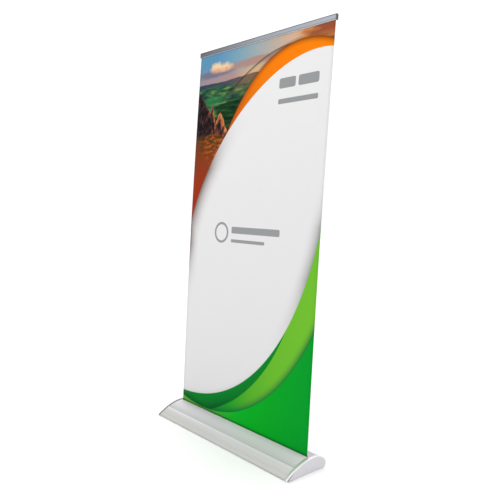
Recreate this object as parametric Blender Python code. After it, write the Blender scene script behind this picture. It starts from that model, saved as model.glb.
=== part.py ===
"""Roll-up banner stand: a wide teardrop cassette with a spring roller, a three-part mast and a clamp rail.

Metres, +Z up. The origin is the centre of the footprint on the floor. X runs along the banner and -Y is the
printed side. The cassette is four snapped extrusions closed by end plates and chromed caps.
"""

import math

import bmesh
import bpy
from mathutils import Matrix, Vector

# Driving dimensions
GRAPHIC_WIDTH = 1.000
VISIBLE_HEIGHT = 2.060
SHEET_THICKNESS = 0.0004
FIT_GAP = 0.0003
ROUND_STEPS = 40
DRILL_LENGTH = 0.030
MERGE_WITHIN = 1e-6
SMOOTH_BELOW_DEG = 30

# Cassette section, seen from the end: a sharp front nose, a crest behind the slot and a round back
BASE_DEPTH = 0.275
CREST_Y = 0.050
CREST_Z = 0.0745
UNDERSIDE_Z = 0.002
NOSE_RADIUS = 0.004
NOSE_LEAST_RADIUS = 0.0004
BACK_RADIUS = 0.030
BACK_CENTRE_Z = 0.0235
SKIN_INSET = 0.002
SKIN_WALL = 0.0018
SEAM_Y = -0.066
SEAM_LAP = 0.008
SEAM_STEP = 0.003
HEM_WIDTH = 0.009
SLOT_Y = 0.026
SLOT_WIDTH = 0.008
SLOT_LIP_DEPTH = 0.011
BRUSH_DROP = 0.002
BRUSH_HEIGHT = 0.0065
ROLLER_WEB_GAP = 0.004
PLATE_WALL = 0.0022
PLATE_FRONT_MARGIN = 0.010
PLATE_REAR_MARGIN = 0.004
SIDE_MARGIN = 0.007

# End caps, end plates, feet and their screws
CAP_WIDTH = 0.0227
CAP_WALL = 0.0025
CAP_RIM_RADIUS = 0.006
END_PLATE_WALL = 0.0025
END_PLATE_INSET = 0.0031
PORT_WIDTH = 0.0042
PORT_WALL = 0.002
PORT_DEPTH = 0.0055
PORT_AXIS_LIFT = 0.0004
FRONT_PORT_Y = -0.085
REAR_PORT_Y = 0.098
TOP_PORT_Y = 0.080
TOP_PORT_DROP = 0.002
SCREW_RADIUS = 0.0019
SCREW_HEAD_RADIUS = 0.0037
SCREW_HEAD_HEIGHT = 0.0024
SCREW_LENGTH = 0.016
PAD_SIZE = (0.034, 0.020)
PAD_END_MARGIN = 0.075
PAD_FRONT_Y = -0.098
PAD_REAR_Y = 0.104

# Spring roller
ROLLER_RADIUS = 0.016
ROLLER_WALL = 0.0012
ROLLER_END_MARGIN = 0.0015
ROLL_BUILD_UP = 0.0015
FULL_ROLL_RADIUS = 0.0215
ROLLER_Z = 0.033
ARBOR_RADIUS = 0.004
PIN_RADIUS = 0.003
PIN_SET_IN = 0.001
PLUG_LENGTH = 0.022
PLUG_FLANGE = 0.0025
SPRING_RADIUS = 0.0095
SPRING_WIRE = 0.0011
SPRING_LENGTH = 0.230
SPRING_STEPS = 9
SPRING_PITCH = 0.0085
ANCHOR_LENGTH = 0.020
ANCHOR_CLEARANCE = 0.001
BUSH_FLANGE_RADIUS = 0.008
BUSH_LENGTH = 0.010
BUSH_FLANGE = 0.002
BUSH_NOSE = 0.002
BUSH_HUB_WALL = 0.002
LOCK_SIZE = 0.018
LOCK_LENGTH = 0.009

# Mast
MAST_Y = 0.052
MAST_RADII = (0.0125, 0.0110, 0.0095)
MAST_WALL = 0.0012
MAST_OVERLAP = 0.060
MAST_FOOT_ROOM = 0.020
SOCKET_WALL = 0.0027
SOCKET_FLOOR = 0.008
SOCKET_FLANGE = 0.0035
SOCKET_FLANGE_HEIGHT = 0.003
SOCKET_CHAMFER = 0.0012
SOCKET_SCREW_RADIUS = 0.0022
SOCKET_SCREW_HEAD = (0.005, 0.0015)
SOCKET_SCREW_SHORT = 0.0005
COLLAR_WALL = 0.0035
COLLAR_BELOW = 0.025
COLLAR_ABOVE = 0.012
COLLAR_FLUTES = 12
COLLAR_FOOT_CHAMFER = (0.001, 0.002)
COLLAR_TOP_CHAMFER = (0.003, 0.004)
FLUTE_RADIUS = 0.0011
FLUTE_LENGTH = 0.024
FLUTE_MIDDLE = -0.006
COLLAR_CLEARANCE = 0.004
END_PLUG_HEIGHT = 0.014
END_PLUG_BORE = 0.004
END_PLUG_RIM = 0.003
HEAD_BELOW = 0.034
HEAD_ABOVE = 0.016
HEAD_WALL = 0.003
HEAD_ROOF = 0.005
HEAD_CHAMFER = 0.002

# Clamp rail: offsets across the rail are from the sheet's plane, heights are from its bottom edge
RAIL_HEIGHT = 0.028
RAIL_FRONT = -0.0050
RAIL_BACK = 0.0093
RAIL_WALL = 0.0016
RAIL_PLATE = 0.0008
RAIL_LIP_Z = 0.012
RAIL_TOP_WALL = 0.002
RAIL_HALF_EXTRA = 0.002
RAIL_GRIP = 0.0025
RAIL_CHAMFER = 0.001
RAIL_BROW = 0.0013
CLAMP_FACE = 0.0005
RAIL_CAP_WALL = 0.003
RAIL_CAP_EDGE_RADIUS = 0.001
STUB_LENGTH = 0.012
STUB_HEIGHT = 0.010
BEAD_RADIUS = 0.0014
BEAD_OFFSET = (-0.0018, 0.0225)
BEAD_NECK_DEG = 15
CUP_FROM_DEG = 150
CUP_TO_DEG = 320
JAW_GAP = 0.00035
JAW_SOCKET_WALL = 0.0012
SHEET_GRIPPED = 0.017
TONGUE_WIDTH = 0.030
TONGUE_CLEARANCE = 0.0005
BRIDGE_DROP = 0.004
BRIDGE_TOP = 0.0105
BRIDGE_ROOT_SHARE = 0.5
BRIDGE_ROOT_LAP = 0.001

# Values worked out from the above
HALF_GRAPHIC = GRAPHIC_WIDTH / 2
SHELL_HALF = HALF_GRAPHIC + SIDE_MARGIN
SHELL_LENGTH = 2 * SHELL_HALF
CAP_INNER_X = SHELL_HALF + FIT_GAP
PLATE_X = SHELL_HALF + FIT_GAP
ROLL_RADIUS = ROLLER_RADIUS + FIT_GAP + ROLL_BUILD_UP
ROLLER_Y = SLOT_Y - SHEET_THICKNESS / 2 - FIT_GAP - ROLL_RADIUS
ROLLER_HALF = HALF_GRAPHIC - ROLLER_END_MARGIN
SKIN_INNER = SKIN_INSET + SKIN_WALL
PLATE_BOTTOM = UNDERSIDE_Z + SKIN_INSET
PLATE_TOP = PLATE_BOTTOM + PLATE_WALL


def tangent_radius(across, drop, small_radius):
    """Radius of the arc that starts level at the crest and ends tangent to a smaller arc, whose centre lies
    `across` along Y and `drop` (negative) along Z from the crest."""
    return (small_radius**2 - across**2 - drop**2) / (2 * (small_radius + drop))


FRONT_RADIUS = tangent_radius(
    CREST_Y + BASE_DEPTH / 2 - NOSE_RADIUS, UNDERSIDE_Z + NOSE_RADIUS - CREST_Z, NOSE_RADIUS
)
REAR_RADIUS = tangent_radius(
    BASE_DEPTH / 2 - BACK_RADIUS - CREST_Y, BACK_CENTRE_Z - CREST_Z, BACK_RADIUS
)
BACK_CENTRE_Y = BASE_DEPTH / 2 - BACK_RADIUS


def skin_height(y, inset):
    """Height of the cassette's section at y, moved inwards by inset."""
    radius = FRONT_RADIUS if y < CREST_Y else REAR_RADIUS
    return CREST_Z - radius + math.sqrt((radius - inset) ** 2 - (y - CREST_Y) ** 2)


def top_points(inset, y_from, y_to, steps):
    """Points along the front arc of the section."""
    stations = [y_from + (y_to - y_from) * i / steps for i in range(steps + 1)]
    return [(y, skin_height(y, inset)) for y in stations]


def arc_points(centre, radius, from_angle, to_angle, steps):
    turn = (to_angle - from_angle) / steps
    angles = [from_angle + turn * i for i in range(steps + 1)]
    return [(centre[0] + radius * math.cos(a), centre[1] + radius * math.sin(a)) for a in angles]


def back_points(inset, bottom_z, steps=8):
    """The two arcs from the crest round the back, down to the height bottom_z."""
    rear_centre = (CREST_Y, CREST_Z - REAR_RADIUS)
    back_centre = (BACK_CENTRE_Y, BACK_CENTRE_Z)
    joint = math.atan2(BACK_CENTRE_Z - rear_centre[1], BACK_CENTRE_Y - rear_centre[0])
    end = math.asin((bottom_z - BACK_CENTRE_Z) / (BACK_RADIUS - inset))
    shoulder = arc_points(rear_centre, REAR_RADIUS - inset, math.pi / 2, joint, steps)
    return shoulder + arc_points(back_centre, BACK_RADIUS - inset, joint, end, steps)[1:]


def nose_points(inset, steps=4):
    """The nose arc, from the underside up to where the front arc takes over."""
    radius = max(NOSE_RADIUS - inset, NOSE_LEAST_RADIUS)
    front_centre = (CREST_Y, CREST_Z - FRONT_RADIUS)
    z = UNDERSIDE_Z + inset + radius
    reach = FRONT_RADIUS - inset - radius
    y = CREST_Y - math.sqrt(reach**2 - (z - front_centre[1]) ** 2)
    joint = math.atan2(z - front_centre[1], y - front_centre[0])
    return arc_points((y, z), radius, 1.5 * math.pi, joint, steps)


def section(inset, front_steps=16):
    """The whole closed section, moved inwards by inset: underside, nose, front arc, crest and back."""
    nose = nose_points(inset)
    front = top_points(inset, nose[-1][0], CREST_Y, front_steps)
    return nose + front[1:] + back_points(inset, UNDERSIDE_Z + inset)[1:]


def material(name, colour, roughness, metallic=0.0):
    made = bpy.data.materials.new(name)
    made.use_nodes = True
    shader = made.node_tree.nodes["Principled BSDF"]
    shader.inputs["Base Color"].default_value = (*colour, 1.0)
    shader.inputs["Roughness"].default_value = roughness
    shader.inputs["Metallic"].default_value = metallic
    return made


def clear_scene():
    for old in list(bpy.data.objects):
        bpy.data.objects.remove(old)


def finished(name, bm, finish, location=(0, 0, 0), parent=None):
    """Turns a bmesh into the named object, shaded smooth across its round stretches."""
    bmesh.ops.remove_doubles(bm, verts=bm.verts, dist=MERGE_WITHIN)
    bmesh.ops.recalc_face_normals(bm, faces=bm.faces)
    mesh = bpy.data.meshes.new(name)
    bm.to_mesh(mesh)
    bm.free()
    mesh.shade_smooth()
    mesh.set_sharp_from_angle(angle=math.radians(SMOOTH_BELOW_DEG))
    mesh.materials.append(finish)
    made = bpy.data.objects.new(name, mesh)
    made.location = location
    made.parent = parent
    bpy.context.scene.collection.objects.link(made)
    return made


def extruded(name, outline, length, finish, location=(0, 0, 0), parent=None):
    """A bar of constant section along X, centred on its origin. The outline holds (y, z) points."""
    bm = bmesh.new()
    face = bm.faces.new([bm.verts.new((-length / 2, y, z)) for y, z in outline])
    made = bmesh.ops.extrude_face_region(bm, geom=[face], use_keep_orig=True)
    ends = [v for v in made["geom"] if isinstance(v, bmesh.types.BMVert)]
    bmesh.ops.translate(bm, verts=ends, vec=(length, 0, 0))
    return finished(name, bm, finish, location, parent)


def turned(name, profile, finish, location=(0, 0, 0), parent=None, along_x=False, steps=ROUND_STEPS):
    """A solid of revolution. The closed profile holds (radius, distance along the axis) points."""
    bm = bmesh.new()
    points = [bm.verts.new((radius, 0, along)) for radius, along in profile]
    pairs = zip(points, points[1:] + points[:1])
    edges = [bm.edges.new(pair) for pair in pairs if any(v.co.x > 0 for v in pair)]
    bmesh.ops.spin(bm, geom=points + edges, axis=(0, 0, 1), cent=(0, 0, 0), angle=math.tau, steps=steps,
                   use_merge=True)
    if along_x:
        bmesh.ops.rotate(bm, verts=bm.verts, cent=(0, 0, 0), matrix=Matrix.Rotation(math.pi / 2, 3, "Y"))
    return finished(name, bm, finish, location, parent)


def tube_profile(outer, inner, start, end):
    return [(outer, start), (outer, end), (inner, end), (inner, start)]


def stepped_profile(steps):
    """A solid turned profile from (radius, start, end) steps in order along the axis."""
    points = [(0, steps[0][1])]
    for radius, start, end in steps:
        points += [(radius, start), (radius, end)]
    return points + [(0, steps[-1][2])]


def block(name, low, high, finish, parent=None):
    """A rectangular block between two corners, with its origin at its centre."""
    size = Vector(high) - Vector(low)
    bm = bmesh.new()
    bmesh.ops.create_cube(bm, size=1)
    bmesh.ops.scale(bm, verts=bm.verts, vec=size)
    return finished(name, bm, finish, (Vector(high) + Vector(low)) / 2, parent)


def cut_with(target, cutter):
    """Cuts the hidden cutter out of the target."""
    cutter.hide_render = True
    cutter.display_type = "WIRE"
    cut = target.modifiers.new("cut " + cutter.name, "BOOLEAN")
    cut.operation = "DIFFERENCE"
    cut.object = cutter


def hole_cutter(name, holes, finish, along_x=True):
    """Cylinders in one cutter, each given as (centre, radius, length)."""
    bm = bmesh.new()
    turn = Matrix.Rotation(math.pi / 2, 4, "Y") if along_x else Matrix.Identity(4)
    for centre, radius, length in holes:
        bmesh.ops.create_cone(bm, cap_ends=True, segments=ROUND_STEPS, radius1=radius, radius2=radius,
                              depth=length, matrix=Matrix.Translation(centre) @ turn)
    return finished(name, bm, finish)


def screw_port(centre_y, base_z, up):
    """Outline points of an extrusion's C-shaped port. `up` is 1 where it stands up, -1 where it hangs."""
    half = PORT_WIDTH / 2
    outer = half + PORT_WALL
    top = base_z + up * (PORT_DEPTH + PORT_WALL)
    floor = base_z + up * PORT_WALL
    return [
        (centre_y - outer, base_z), (centre_y - outer, top), (centre_y - half, top), (centre_y - half, floor),
        (centre_y + half, floor), (centre_y + half, top), (centre_y + outer, top), (centre_y + outer, base_z),
    ]


def port_axis(base_z, up):
    return base_z + up * (PORT_WALL + PORT_WIDTH / 2 + PORT_AXIS_LIFT)


def screw_places():
    """(y, z) of each end plate screw, on the axis of its port."""
    top = skin_height(TOP_PORT_Y, SKIN_INNER) - TOP_PORT_DROP
    return {
        "front": (FRONT_PORT_Y, port_axis(PLATE_TOP, 1)),
        "rear": (REAR_PORT_Y, port_axis(PLATE_TOP, 1)),
        "top": (TOP_PORT_Y, port_axis(top, -1)),
    }


# Cassette: four aluminium extrusions


def bottom_plate(finish):
    """Floor pan, with an upright foot for the roller web and two screw ports, drilled for the socket screw."""
    front = nose_points(SKIN_INNER + FIT_GAP)[-1][0] + PLATE_FRONT_MARGIN
    rear = back_points(SKIN_INNER + FIT_GAP, PLATE_TOP)[-1][0] - PLATE_REAR_MARGIN
    outline = [(front, PLATE_BOTTOM), (front, PLATE_TOP)]
    outline += screw_port(FRONT_PORT_Y, PLATE_TOP, 1)
    outline += screw_port(REAR_PORT_Y, PLATE_TOP, 1)
    outline += [(rear, PLATE_TOP), (rear, PLATE_BOTTOM)]
    made = extruded("bottom_plate", outline, SHELL_LENGTH, finish)
    hole = ((0, MAST_Y, PLATE_BOTTOM), SOCKET_SCREW_RADIUS + FIT_GAP, DRILL_LENGTH)
    drill = hole_cutter("socket_screw_drill", [hole], finish, along_x=False)
    cut_with(made, drill)
    return made


def rear_shell(finish):
    """Rear skin from the slot over the crest and round the back, with the slot's rear lip and a screw port."""
    lip = SLOT_Y + SLOT_WIDTH / 2
    outer = top_points(SKIN_INSET, lip, CREST_Y, 3) + back_points(SKIN_INSET, PLATE_BOTTOM)[1:]
    inner = top_points(SKIN_INNER, lip + SKIN_WALL, CREST_Y, 3) + back_points(SKIN_INNER, PLATE_BOTTOM)[1:]
    port_root = skin_height(TOP_PORT_Y, SKIN_INNER) - TOP_PORT_DROP
    port = screw_port(TOP_PORT_Y, port_root, -1)
    port[0] = (port[0][0], skin_height(port[0][0], SKIN_INNER))
    port[-1] = (port[-1][0], skin_height(port[-1][0], SKIN_INNER))
    before = [p for p in inner if p[0] < port[0][0]]
    after = [p for p in inner[len(before):] if p[0] > port[-1][0] or p[1] < BACK_CENTRE_Z]
    lip_bottom = skin_height(lip, SKIN_INSET) - SLOT_LIP_DEPTH
    outline = outer + list(reversed(before + port + after))
    outline += [(lip + SKIN_WALL, lip_bottom), (lip, lip_bottom)]
    made = extruded("rear_shell", outline, SHELL_LENGTH, finish)
    reach = MAST_RADII[0] + FIT_GAP + SOCKET_WALL + FIT_GAP
    hole = ((0, MAST_Y, CREST_Z), reach, DRILL_LENGTH)
    cut_with(made, hole_cutter("socket_hole", [hole], finish, along_x=False))
    return made


def top_strip(finish):
    """Upper front skin between the seam and the slot. A web in front of the roller carries it on the plate."""
    lip = SLOT_Y - SLOT_WIDTH / 2
    web = ROLLER_Y - FULL_ROLL_RADIUS - ROLLER_WEB_GAP
    outer = top_points(SKIN_INSET, SEAM_Y + FIT_GAP, lip, 9)
    under = top_points(SKIN_INNER, lip - SKIN_WALL, web, 5)
    front = top_points(SKIN_INNER, web - SKIN_WALL, SEAM_Y + FIT_GAP, 4)
    lap = top_points(SKIN_INNER + FIT_GAP + SKIN_WALL, SEAM_Y + SEAM_STEP, SEAM_Y - SEAM_LAP, 2)
    lap_top = top_points(SKIN_INNER + FIT_GAP, SEAM_Y - SEAM_LAP, SEAM_Y + FIT_GAP, 2)
    lip_bottom = skin_height(lip, SKIN_INSET) - SLOT_LIP_DEPTH
    outline = outer + [(lip, lip_bottom), (lip - SKIN_WALL, lip_bottom)] + under
    outline += [(web, PLATE_TOP + FIT_GAP), (web - SKIN_WALL, PLATE_TOP + FIT_GAP)]
    outline += [p for p in front if p[0] > SEAM_Y + SEAM_STEP] + lap + lap_top
    return extruded("top_strip", outline, SHELL_LENGTH, finish)


def front_cover(finish):
    """Lower front skin from the seam round the nose, with a short return under the nose."""
    nose_out = nose_points(SKIN_INSET)
    nose_in = nose_points(SKIN_INNER)
    outer = top_points(SKIN_INSET, nose_out[-1][0], SEAM_Y, 9)
    inner = top_points(SKIN_INNER, nose_in[-1][0], SEAM_Y, 9)
    hem = nose_in[0][0] + HEM_WIDTH
    outline = [(hem, PLATE_BOTTOM)] + nose_out + outer[1:] + list(reversed(nose_in + inner[1:]))
    outline += [(hem, nose_in[0][1])]
    return extruded("front_cover", outline, SHELL_LENGTH, finish)


def brush_strips(finish):
    """Pile strips on both lips of the slot, which wipe the sheet and hide the roller."""
    top = skin_height(SLOT_Y - SLOT_WIDTH / 2, SKIN_INSET) - BRUSH_DROP
    near = SHEET_THICKNESS / 2 + FIT_GAP
    far = SLOT_WIDTH / 2 - FIT_GAP
    for name, start, end in (("brush_strip_front", -far, -near), ("brush_strip_rear", near, far)):
        block(name, (-SHELL_HALF, SLOT_Y + start, top - BRUSH_HEIGHT), (SHELL_HALF, SLOT_Y + end, top), finish)


# Ends of the cassette


def end_plate(side, finish):
    """Steel plate that ties the extrusions together and carries the roller. `side` is 1 right and -1 left."""
    name = "right_end_plate" if side > 0 else "left_end_plate"
    x = side * (PLATE_X + END_PLATE_WALL / 2)
    plate = extruded(name, section(END_PLATE_INSET, front_steps=10), END_PLATE_WALL, finish, (x, 0, 0))
    axle = PIN_RADIUS + 2 * FIT_GAP + BUSH_HUB_WALL if side > 0 else ARBOR_RADIUS + FIT_GAP
    holes = [((x, ROLLER_Y, ROLLER_Z), axle, DRILL_LENGTH)]
    holes += [((x, y, z), SCREW_RADIUS + FIT_GAP, DRILL_LENGTH) for y, z in screw_places().values()]
    cut_with(plate, hole_cutter(name + "_drill", holes, finish))
    return plate


def end_cap(side, finish):
    """Chromed hollow cap: rings of the section, drawn in over the rounded rim and again down the cavity."""
    name = "right_end_cap" if side > 0 else "left_end_cap"
    outer_x = CAP_WIDTH
    shoulder_x = outer_x - CAP_RIM_RADIUS
    turns = [math.pi / 2 * i / 4 for i in range(5)]
    rings = [(0.0, 0.0)]
    rings += [(shoulder_x + CAP_RIM_RADIUS * math.sin(a), CAP_RIM_RADIUS * (1 - math.cos(a))) for a in turns]
    cavity = [(outer_x - CAP_WALL, CAP_RIM_RADIUS + CAP_WALL / 2), (shoulder_x, CAP_WALL), (0.0, CAP_WALL)]
    bm = bmesh.new()
    loops = [[bm.verts.new((side * x, y, z)) for y, z in section(inset)] for x, inset in rings + cavity]
    face_at = len(rings) - 1
    pairs = list(zip(loops, loops[1:] + loops[:1]))
    del pairs[face_at]
    for here, there in pairs:
        for i in range(len(here)):
            bm.faces.new((here[i - 1], here[i], there[i], there[i - 1]))
    bm.faces.new(loops[face_at])
    bm.faces.new(loops[face_at + 1])
    return finished(name, bm, finish, (side * CAP_INNER_X, 0, 0))


def end_plate_screws(side, finish):
    """Pan-head screws through the end plate into the extrusions' ports."""
    end = "right" if side > 0 else "left"
    head = PLATE_X + END_PLATE_WALL + FIT_GAP
    for place, (y, z) in screw_places().items():
        profile = stepped_profile([(SCREW_RADIUS, -SCREW_LENGTH, 0), (SCREW_HEAD_RADIUS, 0, SCREW_HEAD_HEIGHT)])
        if side < 0:
            profile = [(radius, -along) for radius, along in reversed(profile)]
        turned(f"{end}_plate_screw_{place}", profile, finish, (side * head, y, z), along_x=True, steps=16)


def foot_pads(finish):
    """Rubber pads under the floor pan. The stand rests on them."""
    half_x, half_y = PAD_SIZE[0] / 2, PAD_SIZE[1] / 2
    for end, x in (("left", -1), ("right", 1)):
        for row, y in (("front", PAD_FRONT_Y), ("rear", PAD_REAR_Y)):
            centre = x * (SHELL_HALF - PAD_END_MARGIN)
            block(f"foot_pad_{row}_{end}", (centre - half_x, y - half_y, 0),
                  (centre + half_x, y + half_y, PLATE_BOTTOM - FIT_GAP), finish)


# Spring roller


def roller_parts(axis, alloy, steel, plastic, film, nylon):
    """Tube, end plugs, spring and fixed arbor, all on the roller's axis."""
    inner = ROLLER_RADIUS - ROLLER_WALL
    plug = inner - FIT_GAP
    turned("roller_tube", tube_profile(ROLLER_RADIUS, inner, -ROLLER_HALF, ROLLER_HALF), alloy, parent=axis,
           along_x=True)
    turned("rolled_graphic", tube_profile(ROLL_RADIUS, ROLLER_RADIUS + FIT_GAP, -HALF_GRAPHIC, HALF_GRAPHIC),
           film, parent=axis, along_x=True)
    flange = ROLLER_HALF + FIT_GAP
    end = flange + PLUG_FLANGE
    root = flange - FIT_GAP - PLUG_LENGTH
    bore = ARBOR_RADIUS + FIT_GAP
    turned("drive_plug", [(bore, -end), (ROLLER_RADIUS, -end), (ROLLER_RADIUS, -flange), (plug, -flange),
                          (plug, -root), (bore, -root)], plastic, parent=axis, along_x=True)
    pin_bore = PIN_RADIUS + FIT_GAP
    turned("idle_plug", [(pin_bore, root), (plug, root), (plug, flange), (ROLLER_RADIUS, flange),
                         (ROLLER_RADIUS, end), (pin_bore, end)], plastic, parent=axis, along_x=True)
    pin_end = PLATE_X + END_PLATE_WALL + BUSH_LENGTH / 2
    pin_profile = stepped_profile([(PIN_RADIUS, root + PIN_SET_IN, pin_end)])
    turned("idle_pin", pin_profile, steel, parent=axis, along_x=True)
    arbor_start = -(PLATE_X + END_PLATE_WALL + LOCK_LENGTH)
    spring_end = -root + FIT_GAP + SPRING_LENGTH
    arbor_end = spring_end + 2 * FIT_GAP + ANCHOR_LENGTH
    turned("spring_arbor", stepped_profile([(ARBOR_RADIUS, arbor_start, arbor_end)]), steel, parent=axis,
           along_x=True)
    anchor_profile = tube_profile(plug - ANCHOR_CLEARANCE, bore, spring_end + FIT_GAP, arbor_end)
    turned("spring_anchor", anchor_profile, plastic, parent=axis, along_x=True)
    torsion_spring(axis, -root + FIT_GAP, spring_end, steel)
    bush_start = PLATE_X - BUSH_NOSE
    hub = PIN_RADIUS + FIT_GAP + BUSH_HUB_WALL
    face = PLATE_X + END_PLATE_WALL + FIT_GAP
    bush_profile = [(pin_bore, bush_start), (hub, bush_start), (hub, face), (BUSH_FLANGE_RADIUS, face),
                    (BUSH_FLANGE_RADIUS, face + BUSH_FLANGE), (pin_bore, face + BUSH_FLANGE)]
    turned("axle_bush", bush_profile, nylon, parent=axis, along_x=True)


def torsion_spring(axis, start, end, finish):
    """Wire helix round the arbor, between the drive plug and the anchor."""
    start, end = start + SPRING_WIRE, end - SPRING_WIRE
    turns = (end - start) / SPRING_PITCH
    count = round(turns * SPRING_STEPS)
    curve = bpy.data.curves.new("torsion_spring", "CURVE")
    curve.dimensions = "3D"
    curve.bevel_depth = SPRING_WIRE
    curve.bevel_resolution = 1
    curve.use_fill_caps = True
    spline = curve.splines.new("POLY")
    spline.points.add(count)
    for i, point in enumerate(spline.points):
        angle = math.tau * turns * i / count
        x = start + (end - start) * i / count
        point.co = (x, SPRING_RADIUS * math.cos(angle), SPRING_RADIUS * math.sin(angle), 1)
    curve.materials.append(finish)
    made = bpy.data.objects.new("torsion_spring", curve)
    made.parent = axis
    bpy.context.scene.collection.objects.link(made)


def axle_lock(finish):
    """Square block on the left plate that stops the arbor turning."""
    x = -(PLATE_X + END_PLATE_WALL + FIT_GAP)
    half = LOCK_SIZE / 2
    made = block("axle_lock", (x - LOCK_LENGTH + FIT_GAP, ROLLER_Y - half, ROLLER_Z - half),
                 (x, ROLLER_Y + half, ROLLER_Z + half), finish)
    bore = ((x, ROLLER_Y, ROLLER_Z), ARBOR_RADIUS + FIT_GAP, DRILL_LENGTH)
    cut_with(made, hole_cutter("axle_lock_bore", [bore], finish))


# Mast

SOCKET_BOTTOM = PLATE_TOP + FIT_GAP
MAST_BOTTOM = SOCKET_BOTTOM + SOCKET_FLOOR + FIT_GAP
SLOT_Z = skin_height(SLOT_Y - SLOT_WIDTH / 2, SKIN_INSET)
RAIL_Z = SLOT_Z + VISIBLE_HEIGHT
COLLAR_HEIGHT = COLLAR_BELOW + COLLAR_ABOVE
MAST_FIXED = MAST_BOTTOM + MAST_FOOT_ROOM + MAST_OVERLAP + COLLAR_HEIGHT + COLLAR_ABOVE + 2 * COLLAR_CLEARANCE
MAST_STROKE = (RAIL_Z - HEAD_BELOW - MAST_FIXED) / 3
LOWER_TOP = MAST_BOTTOM + MAST_FOOT_ROOM + MAST_OVERLAP + MAST_STROKE
MIDDLE_TOP = LOWER_TOP + MAST_STROKE + COLLAR_HEIGHT + COLLAR_CLEARANCE
MAST_TOP = RAIL_Z + HEAD_ABOVE - HEAD_ROOF - FIT_GAP


def mast_socket(finish):
    """Flanged sleeve between the floor pan and the crest of the shell, which holds the mast's foot."""
    bore = MAST_RADII[0] + FIT_GAP
    wall = bore + SOCKET_WALL
    flange_z = CREST_Z - SKIN_INSET + FIT_GAP
    top = flange_z + SOCKET_FLANGE_HEIGHT
    floor = SOCKET_BOTTOM + SOCKET_FLOOR
    hole = SOCKET_SCREW_RADIUS + FIT_GAP
    brim = wall + SOCKET_FLANGE
    profile = [(hole, SOCKET_BOTTOM), (wall, SOCKET_BOTTOM), (wall, flange_z), (brim, flange_z),
               (brim - SOCKET_CHAMFER, top), (bore, top), (bore, floor), (hole, floor)]
    turned("mast_socket", profile, finish, (0, MAST_Y, 0))


def socket_screw(finish):
    radius, height = SOCKET_SCREW_HEAD
    seat = PLATE_BOTTOM - FIT_GAP
    end = SOCKET_BOTTOM + SOCKET_FLOOR - SOCKET_SCREW_SHORT
    profile = stepped_profile([(radius, seat - height, seat), (SOCKET_SCREW_RADIUS, seat, end)])
    turned("socket_screw", profile, finish, (0, MAST_Y, 0), steps=20)


def mast_tube(name, stage, bottom, top, finish):
    radius = MAST_RADII[stage]
    return turned(name, tube_profile(radius, radius - MAST_WALL, 0, top - bottom), finish, (0, MAST_Y, bottom))


def lock_collar(name, stage, tube_top, finish):
    """Fluted twist collar: its bore is stepped from the outer tube to the inner one above it."""
    wide = MAST_RADII[stage] + FIT_GAP
    narrow = MAST_RADII[stage + 1] + FIT_GAP
    outer = MAST_RADII[stage] + COLLAR_WALL
    foot_in, foot_up = COLLAR_FOOT_CHAMFER
    top_in, top_down = COLLAR_TOP_CHAMFER
    profile = [(outer - foot_in, -COLLAR_BELOW), (outer, foot_up - COLLAR_BELOW),
               (outer, COLLAR_ABOVE - top_down), (outer - top_in, COLLAR_ABOVE), (narrow, COLLAR_ABOVE),
               (narrow, FIT_GAP), (wide, FIT_GAP), (wide, -COLLAR_BELOW)]
    made = turned(name, profile, finish, (0, MAST_Y, tube_top), steps=48)
    bm = bmesh.new()
    for i in range(COLLAR_FLUTES):
        angle = math.tau * i / COLLAR_FLUTES
        place = Vector((outer * math.cos(angle), outer * math.sin(angle), FLUTE_MIDDLE))
        bmesh.ops.create_cone(bm, cap_ends=True, segments=10, radius1=FLUTE_RADIUS, radius2=FLUTE_RADIUS,
                              depth=FLUTE_LENGTH, matrix=Matrix.Translation(place))
    cutter = finished(name + "_flutes", bm, finish, made.location)
    cut_with(made, cutter)


def end_plug(name, stage, bottom, finish):
    """Plastic plug in the foot of a moving tube, which guides it inside the tube below."""
    rim = MAST_RADII[stage]
    stub = rim - MAST_WALL - FIT_GAP
    turned(name, [(END_PLUG_BORE, -END_PLUG_RIM), (rim, -END_PLUG_RIM), (rim, -FIT_GAP), (stub, -FIT_GAP),
                  (stub, END_PLUG_HEIGHT), (END_PLUG_BORE, END_PLUG_HEIGHT)], finish, (0, MAST_Y, bottom))


def mast_head(finish):
    """Moulded cap on the mast with a forward hook: the tongue stands up inside the rail's rear channel."""
    bore = MAST_RADII[2] + FIT_GAP
    wall = bore + HEAD_WALL
    top = HEAD_ABOVE
    profile = [(bore, -HEAD_BELOW), (wall, -HEAD_BELOW), (wall, top - HEAD_CHAMFER), (wall - HEAD_CHAMFER, top),
               (0, top), (0, top - HEAD_ROOF), (bore, top - HEAD_ROOF)]
    body = turned("mast_head", profile, finish, (0, MAST_Y, RAIL_Z), steps=32)
    front = SLOT_Y + RAIL_PLATE + RAIL_WALL + TONGUE_CLEARANCE - MAST_Y
    back = SLOT_Y + RAIL_BACK - RAIL_WALL - TONGUE_CLEARANCE - MAST_Y
    tongue_top = RAIL_HEIGHT - RAIL_TOP_WALL - FIT_GAP
    rear = BRIDGE_ROOT_LAP - math.sqrt(wall**2 - (wall * BRIDGE_ROOT_SHARE) ** 2)
    outline = [(rear, -BRIDGE_DROP), (front, -BRIDGE_DROP), (front, tongue_top), (back, tongue_top),
               (back, BRIDGE_TOP), (rear, BRIDGE_TOP)]
    hook = extruded("mast_head_hook", outline, TONGUE_WIDTH, finish, (0, MAST_Y, RAIL_Z))
    hook.hide_render = True
    hook.display_type = "WIRE"
    join = body.modifiers.new("hook", "BOOLEAN")
    join.operation = "UNION"
    join.object = hook


# Clamp rail and graphic


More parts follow.
